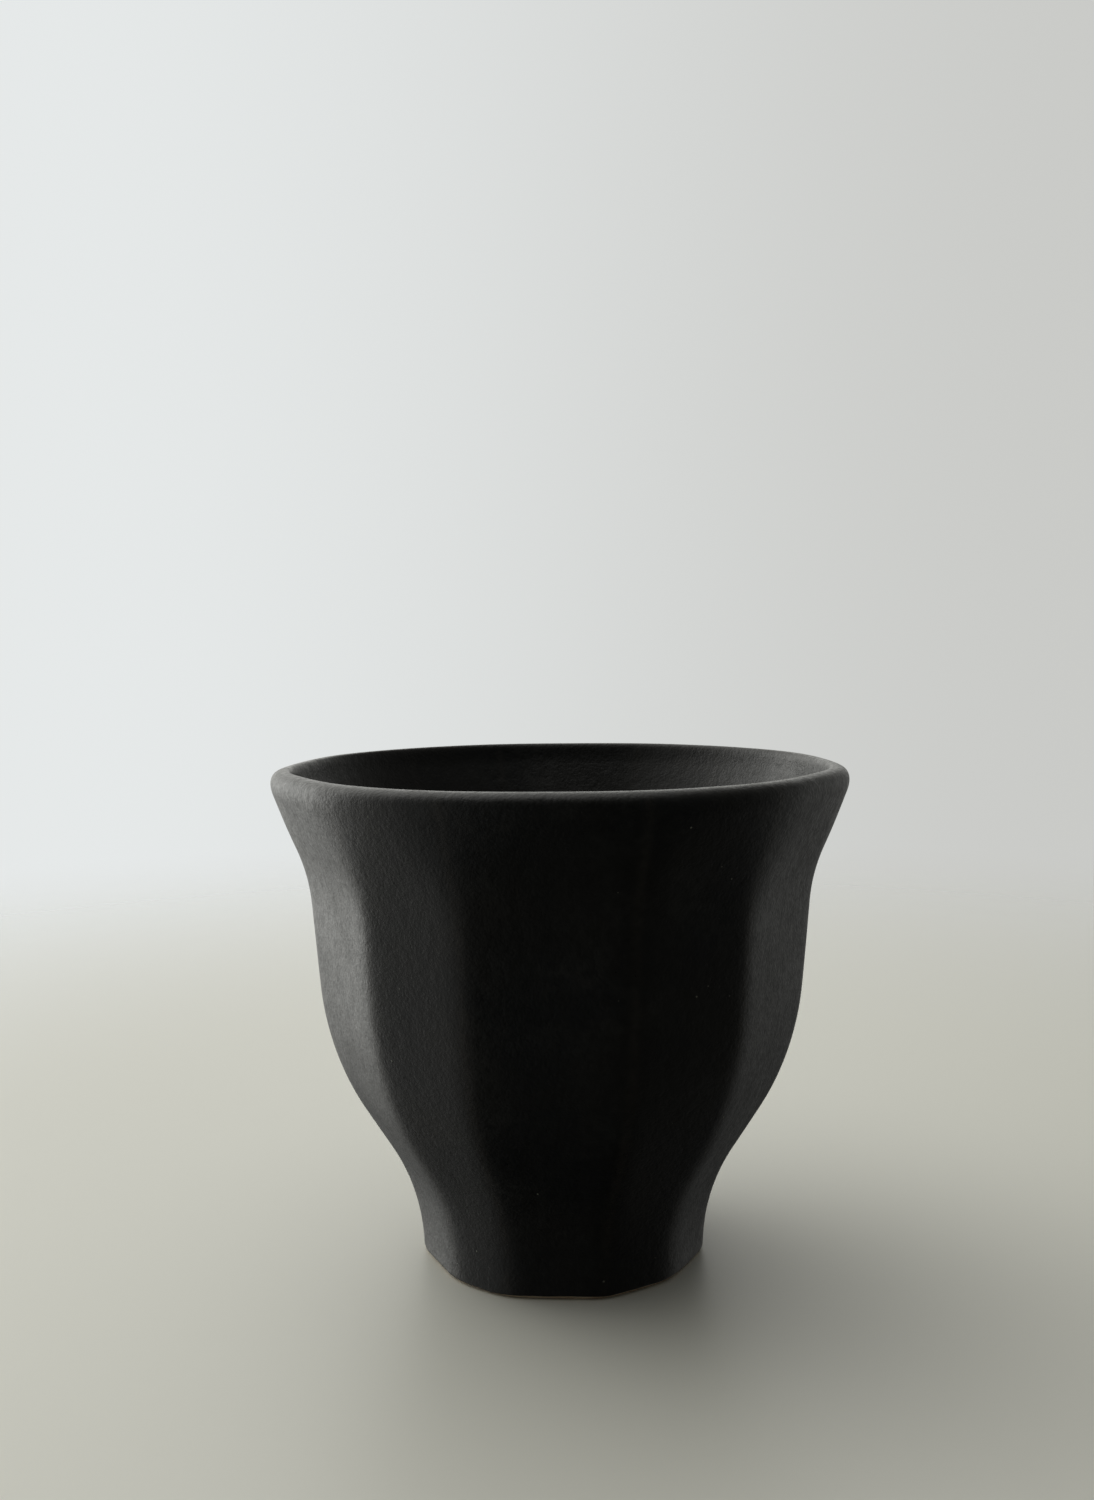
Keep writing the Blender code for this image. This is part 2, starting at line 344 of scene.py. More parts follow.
@dataclass(frozen=True)
class WallProfile:
    """The wall's section: straight legs with a rounded bend between each pair.

    Attributes:
        levels: Heights from the frame.
        lip_radius: Radius over the facet corners at the lip.
        neck_radius: The same where the neck starts to flare.
        belly_radius: The same at the turn of the belly.
        foot_radius: The same at the table.
        wall: Thickness square to the surface.
        ankle_height: Height of the bend above the foot.
        belly_height: Height of the turn of the belly.
        neck_drop: How far the neck's bend is below the top.
        lip_drop: How far the lip's roll starts below the top.
        ankle_bend: Radius of the ankle's bend.
        belly_bend: Radius of the belly's bend.
        neck_bend: Radius of the neck's bend.
        foot_taper: How far the foot narrows up to the ankle.
        end_leg_share: Longest share of the first or last leg that a bend may take.
        middle_leg_share: The same for a leg between two bends.
        outer_crispness: Crispness of the corners outside, on the body.
        inner_crispness: Crispness of the corners inside, on the body.
        floor_crispness: Crispness of the corners where they reach the floor.
        lip_crispness: Crispness that they have softened to at the lip.
        foot_crispness: Crispness that they have softened to at the table.
        lip_softening: Height below the lip over which they soften.
        foot_softening: Height above the table over which they soften.
        crest_inset: How deep the lip's crest lies behind the wall line.
        roll_rise: How far up the lip's curves hold the wall's direction.
        crest_outside: How full the lip's outer curve is at the crest.
        crest_inside: How full its inner curve is at the crest.
        floor_fillet: Radius of the fillet between wall and floor.
        step: Distance between rings.
        seam_step: Distance between rings next to a seam.
    """

    levels: Levels
    lip_radius: float = 0.0616
    neck_radius: float = 0.0535
    belly_radius: float = 0.0502
    foot_radius: float = 0.0309
    wall: float = 0.0042
    ankle_height: float = 0.0128
    belly_height: float = 0.0444
    neck_drop: float = 0.0215
    lip_drop: float = 0.0052
    ankle_bend: float = 0.0514
    belly_bend: float = 0.0605
    neck_bend: float = 0.032
    foot_taper: float = 0.0001
    end_leg_share: float = 0.98
    middle_leg_share: float = 0.48
    outer_crispness: float = 75.0
    inner_crispness: float = 45.0
    floor_crispness: float = 18.0
    lip_crispness: float = 19.0
    foot_crispness: float = 33.0
    lip_softening: float = 0.026
    foot_softening: float = 0.040
    crest_inset: float = 0.0022
    roll_rise: float = 0.003
    crest_outside: float = 0.003
    crest_inside: float = 0.0013
    floor_fillet: float = 0.006
    step: float = 0.0008
    seam_step: float = 0.0003

    @property
    def lip_start(self) -> float:
        """Height at which the lip's roll starts."""
        return self.levels.top - self.lip_drop

    def outline(self) -> np.ndarray:
        """Bends of the outer wall, foot first: rows of (height, radius, bend radius)."""
        return np.array(
            [
                (0.0, self.foot_radius, 0.0),
                (self.ankle_height, self.foot_radius - self.foot_taper, self.ankle_bend),
                (self.belly_height, self.belly_radius, self.belly_bend),
                (self.levels.top - self.neck_drop, self.neck_radius, self.neck_bend),
                (self.lip_start, self.lip_radius, 0.0),
            ]
        )

    def bend_arc(self, at: int) -> tuple[float, float, np.ndarray, float]:
        """Arc that rounds one bend and touches both of its legs.

        The reach along each leg is bend radius / tan(half the angle between the legs), kept under
        a share of either leg, and the centre lies on the legs' bisector.

        Args:
            at: Number of the bend in the outline.

        Returns:
            Lowest height, highest height, centre, and radius, positive where the wall turns out.
        """
        line = self.outline()
        corner = line[at, :2]
        down = line[at - 1, :2] - corner
        up = line[at + 1, :2] - corner
        down_share = self.middle_leg_share if line[at - 1, 2] else self.end_leg_share
        up_share = self.middle_leg_share if line[at + 1, 2] else self.end_leg_share
        longest = min(down_share * np.linalg.norm(down), up_share * np.linalg.norm(up))
        down = down / np.linalg.norm(down)
        up = up / np.linalg.norm(up)
        half_angle = math.acos(float(np.clip(down @ up, -1, 1))) / 2
        reach = min(line[at, 2] / math.tan(half_angle), longest)
        arc = reach * math.tan(half_angle)
        middle = (down + up) / np.linalg.norm(down + up)
        centre = corner + middle * arc / math.sin(half_angle)
        low, high = (corner + down * reach)[0], (corner + up * reach)[0]
        return low, high, centre, math.copysign(arc, centre[1] - corner[1])

    def radius(self, height: np.ndarray) -> np.ndarray:
        """Radius over the corners: straight legs, with each bend's circle put in.

        Args:
            height: Heights.

        Returns:
            Radius at each height.
        """
        line = self.outline()
        found = np.interp(height, line[:, 0], line[:, 1])
        top_slope = (line[-1, 1] - line[-2, 1]) / (line[-1, 0] - line[-2, 0])
        found = np.where(height > line[-1, 0], line[-1, 1] + top_slope * (height - line[-1, 0]), found)
        for at in range(1, len(line) - 1):
            low, high, centre, arc = self.bend_arc(at)
            across = np.sqrt(np.clip(arc**2 - (height - centre[0]) ** 2, 0, None))
            bent = centre[1] - math.copysign(1.0, arc) * across
            found = np.where((height > low) & (height < high), bent, found)
        return found

    def slope(self, height: np.ndarray) -> np.ndarray:
        """Radius gained per height, from the radius a hair above and below."""
        hair = 1e-6
        return (self.radius(height + hair) - self.radius(height - hair)) / (2 * hair)

    def depth(self, height: np.ndarray) -> np.ndarray:
        """Level thickness of the wall: its square thickness * sqrt(1 + slope squared)."""
        return self.wall * np.sqrt(1 + self.slope(height) ** 2)

    def heights(self, low: float, high: float) -> np.ndarray:
        """Heights from low to high, with one short step at each end for the seams.

        Args:
            low: Lowest height.
            high: Highest height.

        Returns:
            Heights, with one more beyond each end.
        """
        inner = (low + self.seam_step, high - self.seam_step)
        count = 1 + math.ceil((inner[1] - inner[0]) / self.step)
        middle = np.linspace(*inner, count)
        ends_low = (low - self.seam_step, low)
        ends_high = (high, high + self.seam_step)
        return np.concatenate([ends_low, middle, ends_high])

    def softened(self, crispness: Any, heights: np.ndarray) -> np.ndarray:
        """Crispness of the corners at each height.

        It is the body's, times (lip's / body's) to the power of a smooth step up to the lip, and
        times (foot's / body's) to the power of a smooth step down to the table.

        Args:
            crispness: Crispness on the body.
            heights: Heights.

        Returns:
            Crispness at each height.
        """
        to_lip = np.clip(1 - (self.levels.top - heights) / self.lip_softening, 0, 1)
        to_foot = np.clip(1 - heights / self.foot_softening, 0, 1)
        to_lip, to_foot = (share**2 * (3 - 2 * share) for share in (to_lip, to_foot))
        lip = (np.minimum(self.lip_crispness, crispness) / crispness) ** to_lip
        foot = (np.minimum(self.foot_crispness, crispness) / crispness) ** to_foot
        return crispness * lip * foot

    def faceted(
        self,
        heights: Any,
        inset: Any = 0.0,
        crispness: Any = None,
        radius: Any = None,
        side: Side = Side.OUTSIDE,
        wave: Any = 0.0,
    ) -> Section:
        """Faceted rings, whose corners soften towards the lip and the foot.

        Args:
            heights: Height of each ring.
            inset: Inset of each ring.
            crispness: Crispness on the body, the outer face's if left out.
            radius: Radius over the corners, the wall's at that height if left out.
            side: Face of the wall that the rings belong to.
            wave: Waviness of each ring.

        Returns:
            The rings.
        """
        heights = np.atleast_1d(heights).astype(float)
        body = self.outer_crispness if crispness is None else crispness
        outer = self.radius(heights) if radius is None else radius
        return Section.of(outer, heights, inset, self.softened(body, heights), 0.0, side, wave)

    def outer(self, heights: np.ndarray) -> Section:
        """Rings on the outer face at these heights."""
        return self.faceted(heights)

    def inner(self, heights: np.ndarray) -> Section:
        """Rings on the bowl's face at these heights."""
        return self.faceted(heights, self.depth(heights), self.inner_crispness, side=Side.BOWL)

    def between(self, height: float, part: float) -> Section:
        """One hidden ring inside the wall.

        Args:
            height: Its height.
            part: -1 for the tongue's face and 1 for the skirt's face, a slip gap apart.

        Returns:
            The ring, on the wall's middle line less half the gap times the part.
        """
        at = np.array([height])
        return self.faceted(at, (self.depth(at) - part * self.levels.gap) / 2)

    def tongue(self, seam: float) -> Section:
        """Hidden rings over the top of a lower band: its ledge, then its tongue."""
        return Section.join(self.between(seam, -1.0), self.between(seam + self.levels.lap, -1.0))

    def skirt(self, seam: float) -> Section:
        """Hidden rings under an upper band: over the tongue, then down its outside."""
        low = seam + self.levels.gap
        return Section.join(self.between(low + self.levels.lap, 1.0), self.between(low, 1.0))

    def lip(self, rings: int = 22) -> Section:
        """Rings over the rolled lip, along two cubic Bezier curves in (inset, height).

        The first goes out along the neck's slope to the crest, and the second down the inside.

        Args:
            rings: Rings on each curve.

        Returns:
            The rings, without the curves' outer ends.
        """
        start = np.array([self.lip_start])
        slope = float(self.slope(start - self.seam_step)[0])
        depth = float(self.wall * math.hypot(1, slope))
        low_outside = np.array([0.0, start[0]])
        low_inside = np.array([depth, start[0]])
        crest = np.array([self.crest_inset, self.levels.top])
        rise = np.array([-slope * self.roll_rise, self.roll_rise])
        full_outside = crest - np.array([self.crest_outside, 0.0])
        full_inside = crest + np.array([self.crest_inside, 0.0])
        share = np.linspace(0, 1, rings + 1)[:, None]
        weights = bezier_weights(share)
        outside = weights @ np.array([low_outside, low_outside + rise, full_outside, crest])
        inside = weights @ np.array([crest, full_inside, low_inside + rise, low_inside])
        line = np.concatenate([outside[1:], inside[1:-1]])
        along = np.linspace(0, 1, len(line))
        soft = self.outer_crispness + (self.inner_crispness - self.outer_crispness) * along
        made = self.faceted(line[:, 1], line[:, 0], soft, self.lip_radius)
        return replace(made, bowl=along)

    def fillet(self, angles: np.ndarray) -> Section:
        """Rings round the fillet between wall and floor.

        At an angle, the height is the floor plus the fillet radius * (1 - sin), and the inset is
        the wall's depth plus the fillet radius * (1 - cos). The corners soften towards the floor.

        Args:
            angles: Angles in radians, 0 where the fillet leaves the wall and a quarter turn where
                it meets the floor.

        Returns:
            The rings.
        """
        floor = self.levels.slab_top + self.levels.gap
        heights = floor + self.floor_fillet * (1 - np.sin(angles))
        inset = self.depth(heights) + self.floor_fillet * (1 - np.cos(angles))
        share = angles / (math.pi / 2)
        soft = self.inner_crispness + (self.floor_crispness - self.inner_crispness) * share
        return self.faceted(heights, inset, soft, side=Side.BOWL)


class RingMesh:
    """Turns strips of rings into one closed mesh."""

    def __init__(self, plan: FacetPlan, wear_width: float = 0.0011) -> None:
        """Keeps the facet plan.

        Args:
            plan: The facets.
            wear_width: Half width of the thin glaze along an edge.
        """
        self.plan = plan
        self.wear_width = wear_width

    def strip_arrays(self, strip: Strip, top: float) -> tuple[np.ndarray, ...]:
        """Works out one strip.

        A skin point's normal is the cross product of the lines to its neighbours round the ring
        and along the section. A hidden point has none, and Blender works it out.

        Args:
            strip: The strip.
            top: Height of the lip, whose glaze is thin.

        Returns:
            Points, normals and thin-glaze shares, rings by azimuths.
        """
        azimuth = self.plan.azimuths()
        points = self.plan.points(strip.section, azimuth)
        worn = self.plan.corner_share(strip.section, azimuth, self.wear_width)
        crest = np.exp(-(((strip.section.height - top) / self.wear_width) ** 2))
        worn = np.maximum(0.7 * worn, crest[:, None])
        if not strip.skin:
            return points, np.zeros_like(points), worn
        around = np.roll(points, -1, axis=1) - np.roll(points, 1, axis=1)
        along = points[2:] - points[:-2]
        normals = np.cross(around[1:-1], along)
        normals /= np.linalg.norm(normals, axis=2, keepdims=True)
        return points[1:-1], normals, worn[1:-1]

    def build(
        self, name: str, strips: list[Strip], top: float, closed: bool = True
    ) -> bpy.types.Object:
        """Makes a mesh whose faces join each ring to the next, and the last to the first.

        Args:
            name: Name of the piece.
            strips: Its strips, in order round its section, up the outside first.
            top: Height of the lip.
            closed: False where the first and last rings close on the axis with a pole each.

        Returns:
            The piece, at the origin.
        """
        parts = [self.strip_arrays(strip, top) for strip in strips]
        points, normals, worn = (np.concatenate(arrays) for arrays in zip(*parts))
        rings = len(points)
        corner = np.arange(rings * COLUMNS).reshape(rings, COLUMNS)
        after = np.roll(corner, -1, axis=1)
        above = np.roll(corner, -1, axis=0)
        above_after = np.roll(after, -1, axis=0)
        quads = np.stack([corner, after, above_after, above], axis=2)
        points, normals, worn = points.reshape(-1, 3), normals.reshape(-1, 3), worn.ravel()
        triangles = np.empty((0, 3), int)
        if not closed:
            quads = quads[:-1]
            low, high = len(points), len(points) + 1
            poles = np.array([(0, 0, points[0, 2]), (0, 0, points[-1, 2])])
            points = np.concatenate([points, poles])
            normals = np.concatenate([normals, np.zeros((2, 3))])
            worn = np.concatenate([worn, np.zeros(2)])
            first = np.stack([after[0], corner[0], np.full(COLUMNS, low)], axis=1)
            last = np.stack([corner[-1], after[-1], np.full(COLUMNS, high)], axis=1)
            triangles = np.concatenate([first, last])
        return self.to_object(name, points, quads.reshape(-1, 4), triangles, normals, worn)

    @staticmethod
    def to_object(
        name: str,
        points: np.ndarray,
        quads: np.ndarray,
        triangles: np.ndarray,
        normals: np.ndarray,
        worn: np.ndarray,
    ) -> bpy.types.Object:
        """Puts the arrays into a mesh.

        Args:
            name: Name of the piece.
            points: Points by 3.
            quads: Four-cornered faces.
            triangles: Three-cornered faces.
            normals: One normal a point, or zeros.
            worn: One thin-glaze share a point.

        Returns:
            The piece.
        """
        mesh = bpy.data.meshes.new(name)
        loops = np.concatenate([quads.ravel(), triangles.ravel()]).astype(np.int32)
        sizes = np.concatenate([np.full(len(quads), 4), np.full(len(triangles), 3)])
        starts = np.concatenate([[0], np.cumsum(sizes)[:-1]]).astype(np.int32)
        mesh.vertices.add(len(points))
        mesh.vertices.foreach_set("co", points.astype(np.float32).ravel())
        mesh.loops.add(len(loops))
        mesh.loops.foreach_set("vertex_index", loops)
        mesh.polygons.add(len(sizes))
        mesh.polygons.foreach_set("loop_start", starts)
        mesh.update(calc_edges=True)
        mesh.validate()
        mesh.shade_smooth()
        mesh.normals_split_custom_set_from_vertices(normals.astype(np.float32))
        attribute = mesh.attributes.new(THIN_GLAZE, "FLOAT", "POINT")
        attribute.data.foreach_set("value", worn.astype(np.float32))
        piece = bpy.data.objects.new(name, mesh)
        bpy.context.scene.collection.objects.link(piece)
        return piece


class Value:
    """A number that varies over the surface, which takes part in Python expressions."""

    def __init__(self, graph: "Graph", socket: bpy.types.NodeSocket) -> None:
        """Wraps an output socket of a graph."""
        self.graph = graph
        self.socket = socket

    def math(self, operation: str, *others: Any, first: Any = None) -> "Value":
        """Adds a Math node.

        Args:
            operation: Its operation.
            others: What follows this value, as values or numbers.
            first: What comes before this value, for the reflected forms.

        Returns:
            The result.
        """
        terms = [self, *others] if first is None else [first, self]
        settings = {"operation": operation}
        node = self.graph.node("ShaderNodeMath", settings, dict(enumerate(terms)))
        return Value(self.graph, node.outputs[0])

    def __add__(self, other: Any) -> "Value":
        """Sum."""
        return self.math("ADD", other)

    __radd__ = __add__

    def __mul__(self, other: Any) -> "Value":
        """Product."""
        return self.math("MULTIPLY", other)

    __rmul__ = __mul__

    def __sub__(self, other: Any) -> "Value":
        """Difference."""
        return self.math("SUBTRACT", other)

    def __rsub__(self, other: Any) -> "Value":
        """Difference from a number."""
        return self.math("SUBTRACT", first=other)

    def __truediv__(self, other: Any) -> "Value":
        """Quotient."""
        return self.math("DIVIDE", other)

    def __pow__(self, other: Any) -> "Value":
        """Power."""
        return self.math("POWER", other)

    def clamped(self, low: float = 0.0, high: float = 1.0) -> "Value":
        """This value kept between two numbers."""
        return self.math("MAXIMUM", low).math("MINIMUM", high)

    def ramp(self, low: float, high: float) -> "Value":
        """This value mapped so that low becomes 0 and high becomes 1, with soft ends.

        Args:
            low: Value that becomes 0.
            high: Value that becomes 1.

        Returns:
            The mapped value.
        """
        node = self.graph.node(
            "ShaderNodeMapRange",
            {"interpolation_type": "SMOOTHSTEP"},
            {"Value": self, "From Min": low, "From Max": high},
        )
        return Value(self.graph, node.outputs["Result"])


class Graph:
    """Node tree of one finish."""

    def __init__(self, tree: bpy.types.NodeTree) -> None:
        """Empties the tree and keeps it."""
        self.tree = tree
        tree.nodes.clear()

    def node(
        self,
        kind: str,
        settings: dict[str, Any] | None = None,
        inputs: dict[Any, Any] | None = None,
    ) -> bpy.types.Node:
        """Adds a node.

        Args:
            kind: Its type.
            settings: Its settings, which are set first.
            inputs: Values or links of its sockets, by name or number.

        Returns:
            The node.
        """
        made = self.tree.nodes.new(kind)
        for name, value in (settings or {}).items():
            setattr(made, name, value)
        for name, value in (inputs or {}).items():
            self.feed(made.inputs[name], value)
        return made

    def feed(self, socket: bpy.types.NodeSocket, value: Any) -> None:
        """Links a value or socket to a socket, or sets the socket to a constant."""
        if isinstance(value, Value):
            value = value.socket
        if isinstance(value, bpy.types.NodeSocket):
            self.tree.links.new(value, socket)
        elif isinstance(value, tuple) and len(value) == 3 and socket.type == "RGBA":
            socket.default_value = (*value, 1.0)
        else:
            socket.default_value = value

    def place(self, shift: tuple[float, float, float] = (0.0, 0.0, 0.0)) -> bpy.types.NodeSocket:
        """The point's own coordinates on the piece, shifted so that patterns differ."""
        here = self.node("ShaderNodeTexCoord").outputs["Object"]
        if not any(shift):
            return here
        moved = self.node("ShaderNodeMapping", inputs={"Vector": here, "Location": shift})
        return moved.outputs["Vector"]

    def noise(
        self,
        size: float,
        detail: float = 2.0,
        roughness: float = 0.5,
        shift: tuple[float, float, float] = (0.0, 0.0, 0.0),
    ) -> Value:
        """Soft noise.

        Args:
            size: Size of its blobs.
            detail: Number of finer layers.
            roughness: Strength of the finer layers.
            shift: Shift of the pattern.

        Returns:
            Values about a half.
        """
        inputs = {
            "Vector": self.place(shift),
            "Scale": 1 / size,
            "Detail": detail,
            "Roughness": roughness,
        }
        return Value(self, self.node("ShaderNodeTexNoise", inputs=inputs).outputs[0])

    def dots(
        self, spacing: float, radius: float, share: float, shift: tuple[float, float, float]
    ) -> Value:
        """Sparse round dots, one in some of the cells of a Voronoi pattern.

        Args:
            spacing: Size of a cell.
            radius: Radius of a dot.
            share: Share of the cells that have one.
            shift: Shift of the pattern.

        Returns:
            1 in a dot and 0 outside.
        """
        inputs = {"Vector": self.place(shift), "Scale": 1 / spacing}
        cells = self.node("ShaderNodeTexVoronoi", inputs=inputs)
        pick = self.node("ShaderNodeSeparateColor", inputs={0: cells.outputs["Color"]})
        chosen = Value(self, pick.outputs[0]).math("LESS_THAN", share)
        size = Value(self, pick.outputs[1]) * 0.7 + 0.3
        distance = Value(self, cells.outputs["Distance"]) * spacing / (size * radius)
        return (1 - distance.ramp(0.6, 1.0)) * chosen

    def mix(self, share: Any, first: Any, second: Any) -> bpy.types.NodeSocket:
        """Mixes two colours by a share."""
        settings = {"data_type": "RGBA"}
        return self.node("ShaderNodeMix", settings, {0: share, 6: first, 7: second}).outputs[2]

    def attribute(self, name: str) -> Value:
        """The piece's own attribute."""
        settings = {"attribute_name": name}
        return Value(self, self.node("ShaderNodeAttribute", settings).outputs["Fac"])

    def bump(self, height: Value, distance: float) -> bpy.types.NodeSocket:
        """Normal of a surface raised by a height pattern times a distance."""
        inputs = {"Height": height, "Distance": distance}
        return self.node("ShaderNodeBump", inputs=inputs).outputs["Normal"]

    def finish_surface(self, inputs: dict[str, Any]) -> None:
        """Feeds a Principled shader and links it to the output."""
        shader = self.node("ShaderNodeBsdfPrincipled", inputs=inputs)
        self.node("ShaderNodeOutputMaterial", inputs={"Surface": shader.outputs[0]})


@dataclass(frozen=True)
class BlackGlaze:
    """Near-black satin glaze with a fine grain.

    Attributes:
        cool: Its colour where it runs cool.
        warm: Its colour where it runs warm.
        dusty: Colour of its greyer clouds.
        thin: Its colour where it thins over an edge.
        speck: Colour of its tiny pale specks.
        roughness: Its mean roughness.
        specular: Strength of its reflection.
        grain: Size of its grain.
        grain_depth: Height of its grain.
        mottle: Size of its mottle.
        peel: Size of its orange peel.
        cloud: Size of its greyer clouds.
        tint: Size of its changes between cool and warm.
    """

    cool: tuple[float, float, float] = (0.0028, 0.0036, 0.0037)
    warm: tuple[float, float, float] = (0.0046, 0.0045, 0.0034)
    dusty: tuple[float, float, float] = (0.0098, 0.0104, 0.0086)
    thin: tuple[float, float, float] = (0.0200, 0.0170, 0.0140)
    speck: tuple[float, float, float] = (0.1500, 0.1550, 0.1250)
    roughness: float = 0.40
    specular: float = 0.42
    grain: float = 0.00060
    grain_depth: float = 0.000085
    mottle: float = 0.0018
    peel: float = 0.0032
    cloud: float = 0.011
    tint: float = 0.024

    def material(self, name: str) -> bpy.types.Material:
        """Makes the material of one piece.

        Colour goes from cool to warm over wide clouds, with greyer clouds, thin edges and specks.
        Roughness follows the clouds and the mottle. The height is grain, a slow orange peel and
        pinholes.

        Args:
            name: Name of the piece.

        Returns:
            The material.
        """
        material = bpy.data.materials.new(f"{name}_glaze")
        material.use_nodes = True
        graph = Graph(material.node_tree)
        grain = graph.noise(self.grain, 2.0, 0.55)
        mottle = graph.noise(self.mottle, 3.0, 0.6, (0.31, 0.17, 0.0))
        peel = graph.noise(self.peel, 1.0, 0.4, (0.0, 0.41, 0.23))
        cloud = graph.noise(self.cloud, 3.0, 0.55, (0.13, 0.0, 0.29))
        tint = graph.noise(self.tint, 2.0, 0.5, (0.0, 0.37, 0.11))
        specks = graph.dots(0.0021, 0.00024, 0.14, (0.19, 0.0, 0.0))
        pinholes = graph.dots(0.0031, 0.00026, 0.10, (0.0, 0.0, 0.27))
        thin = graph.attribute(THIN_GLAZE) * (mottle.ramp(0.30, 0.62) * 0.6 + 0.4)
        colour = graph.mix(tint.ramp(0.35, 0.65), self.cool, self.warm)
        dusty = cloud.ramp(0.45, 0.75) * mottle.ramp(0.35, 0.65)
        colour = graph.mix(dusty * 0.8, colour, self.dusty)
        colour = graph.mix(thin * 0.6, colour, self.thin)
        colour = graph.mix(specks * 0.85, colour, self.speck)
        rough = self.roughness + (cloud - 0.5) * 0.16 + (mottle - 0.5) * 0.3 + (grain - 0.5) * 0.3
        rough = rough - thin * 0.04 + specks * 0.1
        height = grain + mottle * 1.2 + peel * 0.8 - pinholes * 0.8 + specks * 0.7
        graph.finish_surface(
            {
                "Base Color": colour,
                "Roughness": rough.clamped(0.2, 0.8),
                "Specular IOR Level": self.specular,
                "Normal": graph.bump(height, self.grain_depth),
            }
        )
        return material


@dataclass(frozen=True)
class BareClay:
    """Unglazed buff clay with fine grog.

    Attributes:
        buff: Its colour.
        toasted: Its colour where the fire has toasted it.
        soot: Its colour where the wiped glaze has left a stain.
        grog: Colour of its pale grains.
        roughness: Its mean roughness.
        grain: Size of its grain.
        grain_depth: Height of its grain.
    """

    buff: tuple[float, float, float] = (0.46, 0.37, 0.27)
    toasted: tuple[float, float, float] = (0.33, 0.24, 0.16)
    soot: tuple[float, float, float] = (0.06, 0.05, 0.04)
    grog: tuple[float, float, float] = (0.62, 0.55, 0.44)
    roughness: float = 0.86
    grain: float = 0.00035
    grain_depth: float = 0.00005

    def material(self, name: str) -> bpy.types.Material:
        """Makes the material of one piece.

        Colour goes from buff to toasted over clouds, with a glaze stain and pale grog. The height
        is its grain.

        Args:
            name: Name of the piece.

        Returns:
            The material.
        """
        material = bpy.data.materials.new(f"{name}_clay")
        material.use_nodes = True
        graph = Graph(material.node_tree)
        grain = graph.noise(self.grain, 4.0, 0.65)
        cloud = graph.noise(0.006, 3.0, 0.6, (0.21, 0.0, 0.13))
        stain = graph.noise(0.0035, 3.0, 0.65, (0.0, 0.33, 0.0))
        grog = graph.dots(0.0014, 0.00025, 0.3, (0.11, 0.0, 0.0))
        colour = graph.mix(cloud.ramp(0.35, 0.7), self.buff, self.toasted)
        colour = graph.mix(stain.ramp(0.56, 0.75) * 0.6, colour, self.soot)
        colour = graph.mix(grog * 0.6, colour, self.grog)
        graph.finish_surface(
            {
                "Base Color": colour,
                "Roughness": (self.roughness + (grain - 0.5) * 0.2).clamped(0.5, 1.0),
                "Specular IOR Level": 0.3,
                "Normal": graph.bump(grain + grog * 0.5, self.grain_depth),
            }
        )
        return material


class Piece:
    """Part of the pot that knows how to build, dress and place itself."""

    name: str = ""
    node: str | None = None
    slot: Slot = Slot.GLAZE

    def __init__(self, profile: WallProfile, plan: FacetPlan) -> None:
        """Keeps the wall's section and the facets."""
        self.profile = profile
        self.levels = profile.levels
        self.mesher = RingMesh(plan)

    def strips(self) -> list[Strip]:
        """Strips of rings round the piece's section."""
        raise NotImplementedError

    def closes_on_axis(self) -> bool:
        """Whether the piece is a disc with a pole on each face."""
        return False

    def dress(self) -> bpy.types.Material:
        """Makes the piece's material."""
        finish = BlackGlaze() if self.slot is Slot.GLAZE else BareClay()
        return finish.material(self.name)

    def make(self) -> bpy.types.Object:
        """Builds the piece, dresses it and fixes it to the pot's body.

        Returns:
            The finished piece.
        """
        closed = not self.closes_on_axis()
        piece = self.mesher.build(self.name, self.strips(), self.levels.top, closed)
        piece.data.materials.append(self.dress())
        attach(piece, ROOT_BODY)
        if self.node is not None:
            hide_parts(self.node)
        log.info("%s: %d faces", self.name, len(piece.data.polygons))
        return piece


@dataclass(frozen=True)
class FootShape:
    """Sizes of the foot and the floor.

    Attributes:
        edge: Radius of the outer bottom edge.
        recess_radius: Radius of the recess under it.
        recess_edge: Radius of the recess's edge.
        glaze_line: Height at which the glaze stops.
        glaze_skin: Thickness of the glaze, which stands proud of the clay.
        bead: Height of the glaze's rounded lower edge.
        cover: How far the glaze's underside reaches in over the clay.
        wave_reach: Height over which the wiped edge's wave dies away.
        slab_edge: Eased edge of the floor slab.
        toe_angle: Where on the floor's fillet the belly wall ends.
        toe_step: Angle between the rings next to that.
        dish: How far the floor sinks to its middle.
        tool_depth: Depth of the turning marks under the foot.
        tool_pitch: Distance between those marks.
        middle: Radius of the smallest ring round the axis.
        bead_lead: Angle by which the glaze's bead starts before its quarter turn.
        rim_overlap: How far the slab's underside runs on under the recess's wall.
        rim_step: How far the slab's hidden rim starts out from the recess.
        mark_fade: Distance over which the turning marks die away at the recess.
        toe_clearance: How far the slab's seat keeps inside the belly wall's toe.
    """

    edge: float = 0.0015
    recess_radius: float = 0.0237
    recess_edge: float = 0.0008
    glaze_line: float = 0.00075
    glaze_skin: float = 0.00014
    bead: float = 0.00026
    cover: float = 0.0012
    wave_reach: float = 0.003
    slab_edge: float = 0.0006
    toe_angle: float = math.radians(72)
    toe_step: float = 0.05
    dish: float = 0.0003
    tool_depth: float = 0.00005
    tool_pitch: float = 0.0013
    middle: float = 0.0003
    bead_lead: float = 0.2
    rim_overlap: float = 0.0003
    rim_step: float = 0.0002
    mark_fade: float = 0.0015
    toe_clearance: float = 0.0001

    def edge_depth(self, height: Any) -> Any:
        """How far the rounded outer edge stands back: radius - sqrt(radius^2 - below^2)."""
        below = np.clip(self.edge - height, 0, self.edge)
        return self.edge - np.sqrt(self.edge**2 - below**2)


